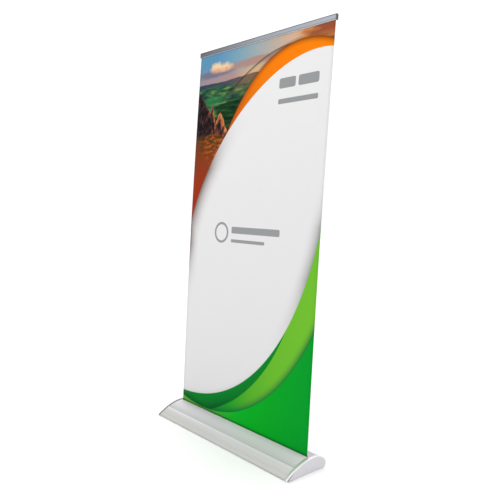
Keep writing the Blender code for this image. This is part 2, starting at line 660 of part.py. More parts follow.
def rail_back(finish):
    """Rear half of the clamp rail: clamping plate, top wall with the hinge bead, and hanging rear channel."""
    top = RAIL_HEIGHT
    under = top - RAIL_TOP_WALL
    plate = RAIL_PLATE + RAIL_WALL
    neck = math.radians(BEAD_NECK_DEG)
    bead = arc_points(BEAD_OFFSET, BEAD_RADIUS, math.pi / 2 - neck, neck - 1.5 * math.pi, 14)
    outline = [(CLAMP_FACE, 0), (plate, 0), (plate, under), (RAIL_BACK - RAIL_WALL, under),
               (RAIL_BACK - RAIL_WALL, RAIL_LIP_Z), (RAIL_BACK, RAIL_LIP_Z),
               (RAIL_BACK, top - RAIL_CHAMFER), (RAIL_BACK - RAIL_CHAMFER, top),
               (RAIL_FRONT + RAIL_CHAMFER, top), (RAIL_FRONT, top - RAIL_CHAMFER),
               (RAIL_FRONT, top - RAIL_BROW), (bead[-1][0], top - RAIL_BROW)]
    outline += list(reversed(bead))
    outline += [(bead[0][0], under), (RAIL_PLATE, under), (RAIL_PLATE, RAIL_GRIP), (CLAMP_FACE, RAIL_GRIP)]
    return extruded("rail_back", outline, 2 * (HALF_GRAPHIC + RAIL_HALF_EXTRA), finish, (0, SLOT_Y, RAIL_Z))


def rail_front_jaw(finish):
    """Snap-open front half of the clamp rail. Its origin is on the hinge bead's axis."""
    bead_y, bead_z = BEAD_OFFSET
    front = RAIL_FRONT - bead_y
    inner = BEAD_RADIUS + JAW_GAP
    outer = inner + JAW_SOCKET_WALL
    cup_from, cup_to = math.radians(CUP_FROM_DEG), math.radians(CUP_TO_DEG)
    cup_out = arc_points((0, 0), outer, cup_from, cup_to, 10)
    cup_in = arc_points((0, 0), inner, cup_to, cup_from, 10)
    bottom = -bead_z
    skin = front + RAIL_WALL
    grip = -CLAMP_FACE - bead_y
    face_top = outer * math.sin(cup_from)
    cup = [p for p in cup_out if p[0] > skin]
    outline = [(front, bottom + RAIL_CHAMFER), (front, face_top), (cup_in[-1][0], face_top)]
    outline += list(reversed(cup_in))[1:] + list(reversed(cup))
    outline += [(skin, cup[0][1]), (skin, bottom + RAIL_GRIP), (grip, bottom + RAIL_GRIP), (grip, bottom),
                (front + RAIL_CHAMFER, bottom)]
    return extruded("rail_front_jaw", outline, 2 * (HALF_GRAPHIC + RAIL_HALF_EXTRA), finish,
                    (0, SLOT_Y + bead_y, RAIL_Z + bead_z))


def rail_caps(finish):
    """Grey plastic caps on the rail's ends, each with a stub in the rear channel."""
    half = HALF_GRAPHIC + RAIL_HALF_EXTRA
    stub_front = RAIL_PLATE + RAIL_WALL + FIT_GAP
    stub_back = RAIL_BACK - RAIL_WALL - FIT_GAP
    stub_top = RAIL_HEIGHT - RAIL_TOP_WALL - FIT_GAP
    for name, side in (("rail_cap_left", -1), ("rail_cap_right", 1)):
        bm = bmesh.new()
        bmesh.ops.create_cube(bm, size=1)
        bmesh.ops.scale(bm, verts=bm.verts, vec=(RAIL_CAP_WALL, RAIL_BACK - RAIL_FRONT, RAIL_HEIGHT))
        edges = [e for e in bm.edges if abs(e.verts[0].co.x - e.verts[1].co.x) > MERGE_WITHIN]
        bmesh.ops.bevel(bm, geom=edges, offset=RAIL_CAP_EDGE_RADIUS, segments=2, profile=0.5, affect="EDGES",
                        material=-1)
        middle = (RAIL_FRONT + RAIL_BACK) / 2
        plate = finished(name, bm, finish, (side * (half + FIT_GAP + RAIL_CAP_WALL / 2), SLOT_Y + middle,
                                            RAIL_Z + RAIL_HEIGHT / 2))
        inner_x, outer_x = sorted((side * (half - STUB_LENGTH), side * (half + FIT_GAP + RAIL_CAP_WALL / 2)))
        stub = block(name + "_stub", (inner_x, SLOT_Y + stub_front, RAIL_Z + stub_top - STUB_HEIGHT),
                     (outer_x, SLOT_Y + stub_back, RAIL_Z + stub_top), finish)
        stub.hide_render = True
        stub.display_type = "WIRE"
        join = plate.modifiers.new("stub", "BOOLEAN")
        join.operation = "UNION"
        join.object = stub


def graphic_sheet(finish):
    """Printed sheet from the roller, up through the slot, into the jaws of the rail."""
    half = SHEET_THICKNESS / 2
    block("graphic_sheet", (-HALF_GRAPHIC, SLOT_Y - half, ROLLER_Z),
          (HALF_GRAPHIC, SLOT_Y + half, RAIL_Z + SHEET_GRIPPED), finish)


def main():
    clear_scene()
    satin = material("satin_aluminium", (0.78, 0.79, 0.80), 0.34, 1.0)
    chrome = material("chrome", (0.86, 0.86, 0.87), 0.08, 1.0)
    zinc = material("zinc_steel", (0.60, 0.61, 0.62), 0.40, 1.0)
    rubber = material("rubber", (0.03, 0.03, 0.03), 0.85)
    plastic = material("grey_plastic", (0.16, 0.165, 0.175), 0.50)
    nylon = material("nylon", (0.82, 0.81, 0.77), 0.50)
    pile = material("pile", (0.12, 0.12, 0.13), 0.95)
    film = material("printed_film", (0.90, 0.90, 0.90), 0.45)

    bottom_plate(satin)
    rear_shell(satin)
    top_strip(satin)
    front_cover(satin)
    brush_strips(pile)
    for side in (-1, 1):
        end_plate(side, zinc)
        end_cap(side, chrome)
        end_plate_screws(side, zinc)
    foot_pads(rubber)

    roller_axis = bpy.data.objects.new("roller_axis", None)
    roller_axis.location = (0, ROLLER_Y, ROLLER_Z)
    bpy.context.scene.collection.objects.link(roller_axis)
    roller_parts(roller_axis, satin, zinc, plastic, film, nylon)
    axle_lock(plastic)

    mast_socket(plastic)
    socket_screw(zinc)
    mast_tube("mast_lower_tube", 0, MAST_BOTTOM, LOWER_TOP, satin)
    lock_collar("lower_lock_collar", 0, LOWER_TOP, plastic)
    middle_bottom = LOWER_TOP - MAST_OVERLAP
    mast_tube("mast_middle_tube", 1, middle_bottom, MIDDLE_TOP, satin)
    end_plug("middle_end_plug", 1, middle_bottom, plastic)
    lock_collar("upper_lock_collar", 1, MIDDLE_TOP, plastic)
    top_bottom = MIDDLE_TOP - MAST_OVERLAP
    mast_tube("mast_top_tube", 2, top_bottom, MAST_TOP, satin)
    end_plug("top_end_plug", 2, top_bottom, plastic)
    mast_head(plastic)

    rail_back(satin)
    rail_front_jaw(satin)
    rail_caps(plastic)
    graphic_sheet(film)


main()
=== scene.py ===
"""The looks of a roll-up banner stand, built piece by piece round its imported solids."""

import math
import random

import bmesh
import bpy
from mathutils import Matrix, Vector


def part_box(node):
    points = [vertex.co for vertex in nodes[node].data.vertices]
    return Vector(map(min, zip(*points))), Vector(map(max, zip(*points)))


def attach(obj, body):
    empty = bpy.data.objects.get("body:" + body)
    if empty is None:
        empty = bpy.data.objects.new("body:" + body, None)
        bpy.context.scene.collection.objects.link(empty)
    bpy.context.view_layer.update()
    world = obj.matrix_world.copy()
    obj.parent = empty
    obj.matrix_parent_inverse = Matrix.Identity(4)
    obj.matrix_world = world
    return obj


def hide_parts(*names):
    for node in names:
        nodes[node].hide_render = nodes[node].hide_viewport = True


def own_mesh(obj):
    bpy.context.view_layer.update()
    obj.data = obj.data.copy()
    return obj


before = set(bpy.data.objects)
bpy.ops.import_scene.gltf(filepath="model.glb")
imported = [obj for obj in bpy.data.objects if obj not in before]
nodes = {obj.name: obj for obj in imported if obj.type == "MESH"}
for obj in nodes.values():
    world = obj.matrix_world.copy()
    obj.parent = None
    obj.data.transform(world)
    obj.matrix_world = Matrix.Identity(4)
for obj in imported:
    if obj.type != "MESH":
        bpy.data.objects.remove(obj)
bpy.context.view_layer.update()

# ---------------------------------------------------------------- camera
# The stand is seen from its front right, from chest height, with a slight tilt
# of the camera to the side. It takes up nearly the whole height of the frame.
STAND_AZIMUTH = math.radians(46.49)
STAND_PITCH = math.radians(2.86)
STAND_ROLL = math.radians(3.41)
CAMERA_PLACE = (2.122, -1.973, 1.174)
LENS_LENGTH = 39.06
SENSOR_WIDTH = 36.0
NEAREST = 0.05
FARTHEST = 200.0
forward = Vector((
    -math.sin(STAND_AZIMUTH) * math.cos(STAND_PITCH),
    math.cos(STAND_AZIMUTH) * math.cos(STAND_PITCH),
    -math.sin(STAND_PITCH),
))
level_right = Vector((math.cos(STAND_AZIMUTH), math.sin(STAND_AZIMUTH), 0.0))
level_up = level_right.cross(forward)
right = level_right * math.cos(STAND_ROLL) + level_up * math.sin(STAND_ROLL)
up = level_up * math.cos(STAND_ROLL) - level_right * math.sin(STAND_ROLL)
camera_data = bpy.data.cameras.new("camera")
camera_data.lens = LENS_LENGTH
camera_data.sensor_width = SENSOR_WIDTH
camera_data.clip_start = NEAREST
camera_data.clip_end = FARTHEST
camera = bpy.data.objects.new("camera", camera_data)
bpy.context.scene.collection.objects.link(camera)
camera_turn = Matrix((right, up, -forward)).transposed().to_4x4()
camera.matrix_world = Matrix.Translation(CAMERA_PLACE) @ camera_turn
bpy.context.scene.camera = camera

# ---------------------------------------------------------------- studio
# A white studio: a pale floor that runs out of sight, light from all round that
# is a little weaker in two directions, and a soft lamp at the front left.
HORIZON_LIGHT = 1.02
ZENITH_GAIN = 0.22
FLOOR_HALF = 40.0
FLOOR_DROP = 0.0005
FLOOR_LIFT = 0.08
KEY_PLACE = Vector((-3.0, -4.5, 4.2))
KEY_TARGET = Vector((0.0, 0.0, 0.9))
KEY_SIZE = 3.0
KEY_WATTS = 26.0
WHITE_LIGHT = (1.0, 1.0, 1.0, 1.0)
GREY_WALLS = (((0.72, 0.69, 0.0), 0.24), ((-0.72, -0.69, 0.0), 0.16))
WALL_EDGE = (0.55, 0.98)


class Wire:
    """One socket of a material. Arithmetic on it adds Math nodes, and node() adds any other."""

    def __init__(self, tree, socket=None):
        self.tree = tree
        self.socket = socket

    def node(self, kind, inputs=None, output=0, stops=(), **settings):
        made = self.tree.nodes.new(kind)
        for name, value in settings.items():
            setattr(made, name, value)
        for index, (place, colour) in enumerate(stops):
            band = made.color_ramp.elements
            if index < 2:
                band[index].position = place
                band[index].color = colour
            else:
                band.new(place).color = colour
        for name, value in (inputs or {}).items():
            if isinstance(value, Wire):
                self.tree.links.new(value.socket, made.inputs[name])
            else:
                made.inputs[name].default_value = value
        return Wire(self.tree, made.outputs[output]) if made.outputs else None

    def maths(self, operation, *values, clamp=False):
        return self.node("ShaderNodeMath", dict(enumerate(values)), operation=operation, use_clamp=clamp)

    def __add__(self, other):
        return self.maths("ADD", self, other)

    def __sub__(self, other):
        return self.maths("SUBTRACT", self, other)

    def __mul__(self, other):
        return self.maths("MULTIPLY", self, other)

    def __truediv__(self, other):
        return self.maths("DIVIDE", self, other)

    def __rsub__(self, other):
        return self.maths("SUBTRACT", other, self)

    __radd__ = __add__
    __rmul__ = __mul__

    def fade(self, low, high):
        """0 at low and 1 at high, straight between them and level beyond."""
        return self.maths("MULTIPLY_ADD", self, 1 / (high - low), -low / (high - low), clamp=True)

    def over(self, below, above):
        """The colour below where this is 0, and the one above where it is 1."""
        return self.node("ShaderNodeMix", {0: self, 6: below, 7: above}, output=2, data_type="RGBA")


def tint(code):
    """A colour written as on a paint chart, #rrggbb, as the linear light that a shader takes."""
    parts = [int(code[i:i + 2], 16) / 255 for i in (1, 3, 5)]
    linear = [part / 12.92 if part <= 0.04045 else ((part + 0.055) / 1.055) ** 2.4 for part in parts]
    return (*linear, 1.0)


def new_finish(name):
    """An empty material, and the wire that its nodes start from."""
    made = bpy.data.materials.new(name)
    made.use_nodes = True
    made.node_tree.nodes.clear()
    return made, Wire(made.node_tree)


def own_place(wire, axis=None):
    """A point's place in the piece's own space, in metres, or one of its three parts."""
    place = wire.node("ShaderNodeTexCoord", output="Object")
    return wire.node("ShaderNodeSeparateXYZ", {"Vector": place}, output=axis) if axis else place


def cloudy(wire, scale, detail, place=None, stretch=None, roughness=0.5):
    """A cloudy pattern, mostly between 0.3 and 0.7, in the piece's own space or at another place."""
    place = place or own_place(wire)
    if stretch:
        place = wire.node("ShaderNodeMapping", {"Vector": place, "Scale": stretch})
    return wire.node("ShaderNodeTexNoise", {
        "Vector": place,
        "Scale": scale,
        "Detail": detail,
        "Roughness": roughness,
    })


def bumped(wire, height, strength, distance):
    """The slope that a fine relief gives a surface."""
    return wire.node("ShaderNodeBump", {
        "Height": height,
        "Strength": strength,
        "Distance": distance,
    }, output="Normal")


def surfaced(wire, inputs):
    """Ends a material in one glossy or matt surface with these inputs."""
    shader = wire.node("ShaderNodeBsdfPrincipled", inputs)
    wire.node("ShaderNodeOutputMaterial", {"Surface": shader})


def new_piece(name, mould, *finishes):
    """Makes the shape in the mould a piece of the stand, and empties the mould."""
    mesh = bpy.data.meshes.new(name)
    mould.to_mesh(mesh)
    mould.free()
    for finish in finishes:
        mesh.materials.append(finish)
    piece = bpy.data.objects.new(name, mesh)
    bpy.context.scene.collection.objects.link(piece)
    return piece


world = bpy.data.worlds.new("studio light")
world.use_nodes = True
world.node_tree.nodes.clear()
wire = Wire(world.node_tree)
aim = wire.node("ShaderNodeTexCoord", output="Generated")
height = wire.node("ShaderNodeSeparateXYZ", {"Vector": aim}, output="Z")
glow = height.fade(0.0, 1.0) * ZENITH_GAIN + HORIZON_LIGHT
for wall, depth in GREY_WALLS:
    facing = wire.node("ShaderNodeVectorMath", {0: aim, 1: wall}, output="Value", operation="DOT_PRODUCT")
    glow = glow * (1 - facing.fade(*WALL_EDGE) * depth)
wire.node("ShaderNodeOutputWorld", {
    "Surface": wire.node("ShaderNodeBackground", {"Color": WHITE_LIGHT, "Strength": glow}),
})
bpy.context.scene.world = world
bpy.context.scene.view_settings.view_transform = "Standard"

floor_finish, wire = new_finish("studio floor")
surfaced(wire, {
    "Base Color": cloudy(wire, 1.5, 3.0).over(tint("#f6f6f6"), tint("#fbfbfb")),
    "Roughness": 0.7,
    "Specular IOR Level": 0.2,
    "Emission Color": WHITE_LIGHT,
    "Emission Strength": FLOOR_LIFT,
})
mould = bmesh.new()
bmesh.ops.create_grid(mould, x_segments=4, y_segments=4, size=FLOOR_HALF)
bmesh.ops.translate(mould, vec=(0.0, 0.0, -FLOOR_DROP), verts=mould.verts)
new_piece("floor", mould, floor_finish)

key_data = bpy.data.lights.new("key lamp", "AREA")
key_data.shape = "SQUARE"
key_data.size = KEY_SIZE
key_data.energy = KEY_WATTS
key = bpy.data.objects.new("key lamp", key_data)
bpy.context.scene.collection.objects.link(key)
key_turn = (KEY_TARGET - KEY_PLACE).to_track_quat("-Z", "Y").to_matrix().to_4x4()
key.matrix_world = Matrix.Translation(KEY_PLACE) @ key_turn

# ---------------------------------------------------------------- cassette
# The housing of the roller: a front cover, a top strip and a rear shell, all
# extruded aluminium with a satin anodised skin, on a plain bottom plate. The
# die and the brushing before anodising leave fine lines along the length.
HOUSING_EASE = 0.0004
SMALL_EASE = 0.0002
JOIN_WITHIN = 0.00001
FLAT_WITHIN = math.radians(1.0)
EDGE_FROM = math.radians(35.0)
LINES_ALONG_X = (1.5, 420.0, 420.0)
LINES_ALONG_Z = (420.0, 420.0, 1.5)
LINE_DEPTH = 0.22
BROAD_SHARE = 0.25
BASE_SPAN = (-0.14, 0.14)
ANODISED_METAL = 0.18
ANODISED_GLOSS = 0.3
LIP_HIGHLIGHT = (0.0028, 0.0014)
LIP_SHADE_FOOT = (0.0022, 0.0036)
LIP_SHADE_HEAD = (0.0072, 0.005)


def eased(node, width):
    """Rounds a solid's sharp edges by this width, as every made edge is, and shades its curves smoothly."""
    weld = node.modifiers.new("joined", "WELD")
    weld.merge_threshold = JOIN_WITHIN
    dissolve = node.modifiers.new("flat faces", "DECIMATE")
    dissolve.decimate_type = "DISSOLVE"
    dissolve.angle_limit = FLAT_WITHIN
    if width:
        edge = node.modifiers.new("eased edges", "BEVEL")
        edge.width = width
        edge.segments = 2
        edge.limit_method = "ANGLE"
        edge.angle_limit = EDGE_FROM
    level = node.modifiers.new("level faces", "WEIGHTED_NORMAL")
    level.keep_sharp = True
    for face in node.data.polygons:
        face.use_smooth = True


def dressed(name, finish, width):
    """Gives a solid its finish and its eased edges."""
    node = nodes[name]
    node.data.materials.clear()
    node.data.materials.append(finish)
    for face in node.data.polygons:
        face.material_index = 0
    eased(node, width)


def ramp(wire, value, *stops):
    """A colour that runs through these stops as the value grows."""
    return wire.node("ShaderNodeValToRGB", {"Fac": value}, stops=[(at, tint(code)) for at, code in stops])


def anodised(name, roughness, shades, axis="Y", span=BASE_SPAN, along=LINES_ALONG_X,
             metal=ANODISED_METAL, lines_show=LINE_DEPTH, lip=None):
    """Satin anodised aluminium. Its fine lines run along the stretched direction, and its colour drifts
    through painted light and shade along the axis, from one end of the span to the other, as light would
    catch the metal.
    A lip is the height of a rolled lower edge, with a painted highlight along it and a painted shade just
    above it."""
    made, wire = new_finish(name)
    fine = cloudy(wire, 1.0, 3.0, stretch=along, roughness=0.6)
    broad = cloudy(wire, 1.0, 2.0, stretch=[BROAD_SHARE * share for share in along])
    lines = fine * 0.6 + broad * 0.4
    base = ramp(wire, own_place(wire, axis).fade(*span), *shades)
    if lip is not None:
        rise = own_place(wire, "Z") - lip
        # A painted dark shade just above the lip, then a painted highlight along it.
        lip_shade = rise.fade(*LIP_SHADE_HEAD) * rise.fade(*LIP_SHADE_FOOT)
        base = (lip_shade * 0.6).over(base, tint("#33363d"))
        base = (rise.fade(*LIP_HIGHLIGHT) * 0.5).over(base, tint("#d5d6dc"))
    surfaced(wire, {
        "Base Color": (lines.fade(0.32, 0.68) * lines_show).over(base, tint("#ffffff")),
        "Metallic": metal,
        "Specular IOR Level": ANODISED_GLOSS,
        "Roughness": lines.fade(0.25, 0.75) * 0.14 + (roughness - 0.07),
        "Normal": bumped(wire, lines, 0.12, 0.0004),
    })
    return made


SEAM_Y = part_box("top_strip")[0].y
NOSE_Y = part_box("front_cover")[0].y
LIP_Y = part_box("top_strip")[1].y
TAIL_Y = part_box("rear_shell")[1].y
# The colour across each part is painted light and shade: a painted shadow along the seam on the top
# just below the seam and a painted dark band at the seam itself; the shell darker towards its tail.
# strip, which grows lighter towards the slot; on the cover painted shade at the nose, a painted highlight
top_finish = anodised("satin anodised top", 0.5, [
    (0.0, "#acafad"), (0.14, "#bbbebc"), (0.32, "#cdcbcf"), (0.6, "#dad6dc"), (1.0, "#dbd1d9"),
], span=(SEAM_Y, LIP_Y))
cover_finish = anodised("satin anodised cover", 0.45, [
    (0.0, "#a8a8a4"), (0.08, "#b6b6b2"), (0.35, "#b9b9b4"), (0.65, "#bfbfbe"),
    (0.9, "#cfcfd1"), (0.97, "#d4d4d6"), (1.0, "#b4b4b4"),
], span=(NOSE_Y, SEAM_Y))
shell_finish = anodised("satin anodised shell", 0.45, [
    (0.0, "#c2c3c5"), (0.3, "#b7b8ba"), (0.75, "#a6a7a9"), (1.0, "#9a9b9d"),
], span=(LIP_Y, TAIL_Y))
plate_finish = anodised("satin anodised plate", 0.45, [(0.0, "#bcbdc0"), (1.0, "#bcbdc0")])
dressed("top_strip", top_finish, HOUSING_EASE)
dressed("front_cover", cover_finish, HOUSING_EASE)
dressed("rear_shell", shell_finish, HOUSING_EASE)
dressed("bottom_plate", plate_finish, HOUSING_EASE)

# ---------------------------------------------------------------- slot brushes
# Two strips of short dark nylon pile along the slot, one on each side of the
# banner, each woven into a thin backing that is glued in its groove. They wipe
# dust off the film as it runs in, and hide the slot.
BACKING = 0.0010
BACKING_EASE = 0.0002
TUFT_PITCH = 0.0026
TUFT_ROWS = 3
TUFT_SIDES = 5
TUFT_ROOT = 0.00105
TUFT_TIP = 0.00055
TUFT_STRAY = 0.0004
FRONT_SEED = 5
REAR_SEED = 6

pile_finish, wire = new_finish("dark pile")
strands = cloudy(wire, 1.0, 2.0, stretch=(1800.0, 200.0, 1800.0))
surfaced(wire, {
    "Base Color": strands.fade(0.3, 0.7).over(tint("#1d1d20"), tint("#4a4a4e")),
    "Roughness": 0.95,
    "Normal": bumped(wire, strands, 0.6, 0.0005),
    "Sheen Weight": 0.3,
})


def pile_strip(name, towards, seed):
    """One brush: a backing bar with rows of tapered tufts on it, which stop just short of the film."""
    low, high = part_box(name)
    root = low.y + BACKING if towards > 0 else high.y - BACKING
    reach = high.y - low.y - BACKING
    stray = random.Random(seed)
    mould = bmesh.new()
    middle = Vector(((low.x + high.x) / 2, root - towards * BACKING / 2, (low.z + high.z) / 2))
    size = Matrix.Diagonal((high.x - low.x, BACKING, high.z - low.z, 1.0))
    bmesh.ops.create_cube(mould, size=1.0, matrix=Matrix.Translation(middle) @ size)
    bmesh.ops.bevel(mould, geom=mould.edges[:], offset=BACKING_EASE, segments=1, affect="EDGES",
                    profile=0.5, material=-1)
    turned = Matrix.Rotation(math.radians(-90.0 * towards), 4, "X")
    for row in range(TUFT_ROWS):
        level = low.z + (row + 0.5) / TUFT_ROWS * (high.z - low.z)
        start = low.x + (0.5 + 0.5 * (row % 2)) * TUFT_PITCH
        for step in range(int((high.x - start) / TUFT_PITCH)):
            long = reach - stray.random() * TUFT_STRAY
            across = start + step * TUFT_PITCH
            spot = Matrix.Translation((across, root + towards * long / 2, level))
            bmesh.ops.create_cone(mould, cap_ends=True, segments=TUFT_SIDES, radius1=TUFT_ROOT,
                                  radius2=TUFT_TIP, depth=long, matrix=spot @ turned)
    brush = new_piece(f"{name}_pile", mould, pile_finish)
    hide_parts(name)
    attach(brush, "base")


pile_strip("brush_strip_front", 1, FRONT_SEED)
pile_strip("brush_strip_rear", -1, REAR_SEED)

# ---------------------------------------------------------------- end plates and caps
# A zinc plated steel plate closes each end of the housing and carries the
# roller. A chromed die-cast cap with a rounded rim covers it.
CAP_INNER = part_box("right_end_cap")[0].x
CAP_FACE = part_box("right_end_cap")[1].x
CAP_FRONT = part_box("right_end_cap")[0].y
RIM_ROUND = (0.0022, 0.0008)
INNER_RIM = (0.006, 0.003)
DARK_REFLECTION_IN = 0.0024
DARK_REFLECTION_WIDE = 0.0016
DARK_REFLECTION_SOFT = 0.0003
DARK_REFLECTION_ENDS = (0.075, 0.005)


def chromed(name, inner):
    """Satin chrome, with its reflections painted: a painted highlight round the rim and a greyer flat face,
    the colour inner as a painted reflection on the rim's inner edge, and a painted dark reflection at the
    front of the rim's corner."""
    made, wire = new_finish(name)
    out = wire.maths("ABSOLUTE", own_place(wire, "X"))
    back = own_place(wire, "Y") - CAP_FRONT
    haze = cloudy(wire, 9.0, 2.0)
    face = haze.over(tint("#cac8ce"), tint("#cfced2"))
    rim = haze.over(tint("#ececec"), tint("#f6f6f6"))
    colour = out.fade(*(CAP_FACE - step for step in RIM_ROUND)).over(rim, face)
    colour = out.fade(*(CAP_INNER + step for step in INNER_RIM)).over(colour, tint(inner))
    # A painted dark reflection along the rim's corner, widest at the front and gone 75 mm back.
    from_dark_reflection = wire.maths("ABSOLUTE", out - (CAP_FACE - DARK_REFLECTION_IN))
    dark_reflection = (back.fade(*DARK_REFLECTION_ENDS) * DARK_REFLECTION_WIDE - from_dark_reflection).fade(0.0, DARK_REFLECTION_SOFT)
    surfaced(wire, {
        "Base Color": (dark_reflection * 0.9).over(colour, tint("#262628")),
        "Metallic": 0.4,
        "Specular IOR Level": 0.4,
        "Roughness": haze.fade(0.3, 0.8) * 0.06 + 0.24,
    })
    return made


# The caps differ only in the painted reflection on the rim's inner edge: dark on the left, light on the
# right.
cap_finishes = {
    "left": chromed("satin chrome left", "#77777a"),
    "right": chromed("satin chrome right", "#f4ecf1"),
}
zinc_finish, wire = new_finish("zinc plated steel")
spangle = wire.node("ShaderNodeTexVoronoi", {
    "Vector": own_place(wire),
    "Scale": 160.0,
    "Randomness": 1.0,
}, output="Color")
patch = wire.node("ShaderNodeSeparateColor", {"Color": spangle}, output=0)
surfaced(wire, {
    "Base Color": patch.over(tint("#b3b6ba"), tint("#cfd1d3")),
    "Metallic": 1.0,
    "Roughness": patch * 0.12 + 0.3,
})
for side in ("left", "right"):
    dressed(f"{side}_end_cap", cap_finishes[side], 0.0)
    dressed(f"{side}_end_plate", zinc_finish, SMALL_EASE)
    for spot in ("front", "rear", "top"):
        dressed(f"{side}_plate_screw_{spot}", zinc_finish, 0.0)

# ---------------------------------------------------------------- feet
# Four moulded rubber pads under the bottom plate, finely pored, that keep the
# metal off the floor.
PAD_EASE = 0.0006
rubber_finish, wire = new_finish("black rubber")
pores = cloudy(wire, 700.0, 3.0)
surfaced(wire, {
    "Base Color": pores.over(tint("#1c1c1d"), tint("#2b2b2c")),
    "Roughness": 0.8,
    "Normal": bumped(wire, pores, 0.3, 0.0002),
})
for side in ("left", "right"):
    for spot in ("front", "rear"):
        dressed(f"foot_pad_{spot}_{side}", rubber_finish, PAD_EASE)

# ---------------------------------------------------------------- roller
# An extruded aluminium tube that the rest of the film winds on, nylon plugs in
# both ends, and a steel torsion spring on a steel arbor that winds it back.
nylon_finish, wire = new_finish("natural nylon")
flow = cloudy(wire, 90.0, 3.0)
surfaced(wire, {
    "Base Color": flow.over(tint("#dedbd0"), tint("#ebe8de")),
    "Roughness": flow.fade(0.3, 0.7) * 0.1 + 0.45,
})
film_roll_finish, wire = new_finish("rolled film")
wound = cloudy(wire, 1.0, 2.0, stretch=(4.0, 60.0, 60.0))
surfaced(wire, {
    "Base Color": wound.over(tint("#cfd0d1"), tint("#dddddd")),
    "Roughness": 0.45,
})
dressed("roller_tube", plate_finish, SMALL_EASE)
dressed("rolled_graphic", film_roll_finish, 0.0)
for name in ("drive_plug", "idle_plug", "axle_bush"):
    dressed(name, nylon_finish, SMALL_EASE)
for name in ("idle_pin", "spring_arbor", "spring_anchor", "torsion_spring", "axle_lock"):
    dressed(name, zinc_finish, 0.0)

# ---------------------------------------------------------------- mast
# Three aluminium tubes that slide in one another, held by two fluted twist
# collars. It stands in a socket in the cassette and its head carries the rail.
MAST_METAL = 0.8


def moulded(name, dark, light, mottle, roughness):
    """A grainy plastic moulding, whose colour drifts between two shades."""
    made, wire = new_finish(name)
    grain = cloudy(wire, 900.0, 2.0)
    surfaced(wire, {
        "Base Color": cloudy(wire, mottle, 2.0).over(tint(dark), tint(light)),
        "Roughness": grain.fade(0.3, 0.7) * 0.12 + roughness,
        "Normal": bumped(wire, grain, 0.25, 0.0002),
    })
    return made


mast_finish = anodised("satin anodised mast", 0.32, [
    (0.0, "#95979b"), (1.0, "#a2a4a8"),
], along=LINES_ALONG_Z, metal=MAST_METAL)
plastic_finish = moulded("dark grey moulding", "#2f3134", "#3b3d41", 40.0, 0.5)
for name in ("mast_lower_tube", "mast_middle_tube", "mast_top_tube"):
    dressed(name, mast_finish, SMALL_EASE)
for name in ("mast_socket", "lower_lock_collar", "upper_lock_collar",
             "mast_head", "middle_end_plug", "top_end_plug"):
    dressed(name, plastic_finish, 0.0)
dressed("socket_screw", zinc_finish, 0.0)

# ---------------------------------------------------------------- top rail
# Two aluminium extrusions that snap together over the film's top edge, closed
# by a plastic cap at each end.
RAIL_LINES = 0.06
RAIL_SPAN = (-0.5, 0.5)
RAIL_EASE = 0.0003
RAIL_CAP_EASE = 0.0004
# Both rail finishes run from dark at the left end to light at the right, a painted reflection. The back
# is painted darker than the jaw, as painted shade along the rail's top, and the jaw's lip carries a
# painted highlight with a painted shade above it.
jaw_finish = anodised("satin anodised jaw", 0.36, [
    (0.0, "#4a4e55"), (0.15, "#62666d"), (0.32, "#777b84"), (0.5, "#8a8f98"), (1.0, "#9ca2ac"),
], axis="X", span=RAIL_SPAN, lines_show=RAIL_LINES, lip=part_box("rail_front_jaw")[0].z)
rail_finish = anodised("satin anodised rail", 0.36, [
    (0.0, "#34383e"), (0.15, "#42464c"), (0.32, "#585c64"), (0.5, "#6c7179"), (1.0, "#7b818a"),
], axis="X", span=RAIL_SPAN, lines_show=RAIL_LINES)
cap_plastic = moulded("mid grey moulding", "#4a4d52", "#585c61", 900.0, 0.45)
dressed("rail_back", rail_finish, RAIL_EASE)
dressed("rail_front_jaw", jaw_finish, RAIL_EASE)
for side in ("left", "right"):
    dressed(f"rail_cap_{side}", cap_plastic, RAIL_CAP_EASE)

# ---------------------------------------------------------------- printed banner
# A sheet of grey-backed polyester film, 1 m wide, printed on its front. It
# comes up from the roller through the slot, and its top is held in the rail.
SLOT_Z = 0.07117
VISIBLE_HEIGHT = 2.06
FILM_THICKNESS = 0.0004
FILM_BOW = 0.010
FILM_COLUMNS = 40
FILM_ROWS = 141
PRINT_SPAN = 2.2
PRINT_DROP = 0.05

# The swooshes, as ellipses on the print: centre and radii in metres, and lean in degrees.
VEIL = ((0.226, -0.113), (0.983, 2.2), -17.2)
FLAME = ((1.031, -0.171), (0.998, 2.2), 7.1)
LIGHT_GREEN = ((-0.151, 2.169), (1.286, 2.2), 13.9)
DARK_GREEN = ((-0.142, 0.971), (1.036, 1.036))
FIELD_ABOVE = ((0.637, 1.137), (0.562, 0.901), -33.6)
FIELD_BELOW = ((-0.517, 2.165), (1.408, 2.2), 22.8)

# The print's upper and lower halves meet inside the white field, along z = 0.9 x + 0.6.
FIELD_RISE = 0.9
FIELD_SPLIT = (0.599, 0.601)

# The softness of printed edges in metres, the share of light that the ink gives back, and how
# ragged and how soft a cloud is.
EDGE = 0.0016
INK = 0.875
PUFF_RAG = 2.2
PUFF_EDGE = (1.35, 0.35)

# A plain ring, and plain bars given by their left, right, bottom and top, in metres.
RING = ((0.285, 1.04), (0.058, 0.058))
RING_WIDE = 0.012
BAR_CORNER = 0.4
BARS = (
    (0.665, 0.775, 1.79, 1.84),
    (0.795, 0.925, 1.79, 1.84),
    (0.665, 0.925, 1.712, 1.736),
    (0.37, 0.735, 1.04, 1.075),
    (0.37, 0.63, 0.99, 1.006),
)

film_low, film_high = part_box("graphic_sheet")
film_plane = (film_low.y + film_high.y) / 2
film_width = film_high.x - film_low.x
film_length = film_high.z - film_low.z

